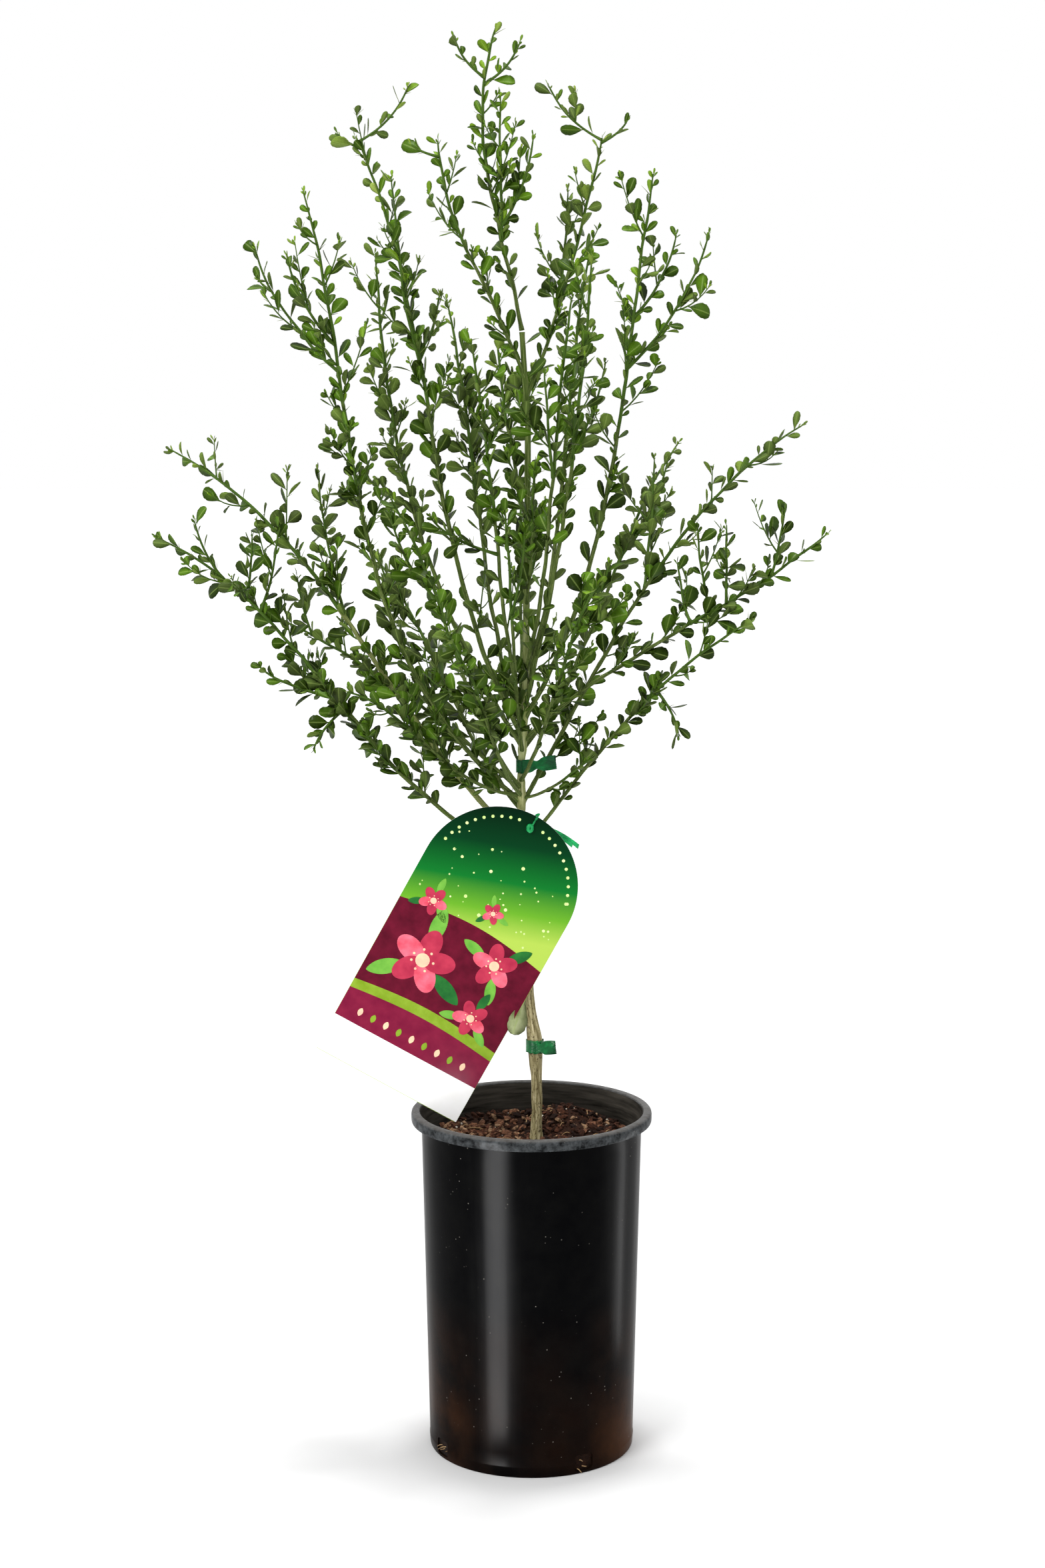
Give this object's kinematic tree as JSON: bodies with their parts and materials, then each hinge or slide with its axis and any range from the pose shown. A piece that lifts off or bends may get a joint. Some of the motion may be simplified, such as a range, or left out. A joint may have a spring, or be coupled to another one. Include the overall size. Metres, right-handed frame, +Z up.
{
  "type": "potted finger lime tree",
  "caption": "Young finger lime tree with an open upright crown of small leaves, in a round nursery pot with a hang tag and tape ties.",
  "frame": {"origin": "centre of the pot's flat underside", "axes": "+Z up along the trunk, -Y towards the front, +X to the right seen from the front"},
  "size_m": [0.5574, 0.4438, 1.1674],
  "materials": {
    "pot": "gloss black, scuffed rim",
    "potting_mix": "loose composted bark, matte",
    "bark": "smooth grey-green bark with pale streaks",
    "foliage": "glossy dark green leaves on green twigs",
    "tie_tape": "thin green tape",
    "tag": "satin printed card"
  },
  "bodies": {
    "root": {"pot": "pot", "potting_mix": "potting_mix", "trunk": "bark", "bough_far_left_low": "bark", "bough_right_low": "bark", "bough_far_left_high": "bark", "bough_back_low_left": "bark", "bough_far_right_high": "bark", "bough_left_low_front": "bark", "bough_front_low_left": "bark", "bough_left_mid": "bark", "bough_left_low_back": "bark", "bough_front_left": "bark", "bough_back_centre": "bark", "bough_front_low_right": "bark", "bough_left_back": "bark", "bough_left_tall": "bark", "bough_back_right": "bark", "bough_front_mid": "bark", "bough_far_right_low": "bark", "bough_back_left_high": "bark", "bough_centre_front": "bark", "bough_right_mid": "bark", "bough_right_front": "bark", "bough_back_right_high": "bark", "bough_front_right_high": "bark", "mass_far_left_low": "foliage", "mass_right_low": "foliage", "mass_far_left_high": "foliage", "mass_back_low_left": "foliage", "mass_far_right_high": "foliage", "mass_left_low_front": "foliage", "mass_front_low_left": "foliage", "mass_left_mid": "foliage", "mass_right_thin": "foliage", "mass_left_low_back": "foliage", "mass_front_left": "foliage", "mass_back_centre": "foliage", "mass_front_low_right": "foliage", "mass_left_back": "foliage", "mass_left_tall": "foliage", "mass_back_right": "foliage", "mass_front_mid": "foliage", "mass_far_right_low": "foliage", "mass_back_left_high": "foliage", "mass_centre_front": "foliage", "mass_right_mid": "foliage", "mass_right_front": "foliage", "mass_back_right_high": "foliage", "mass_front_right_high": "foliage", "mass_spur_front": "foliage", "mass_centre_back": "foliage", "mass_right_tall": "foliage", "mass_top_left": "foliage", "mass_top": "foliage", "tie_low": "tie_tape", "tie_high": "tie_tape", "tag_tie": "tie_tape", "tag": "tag"}
  },
  "joints": []
}
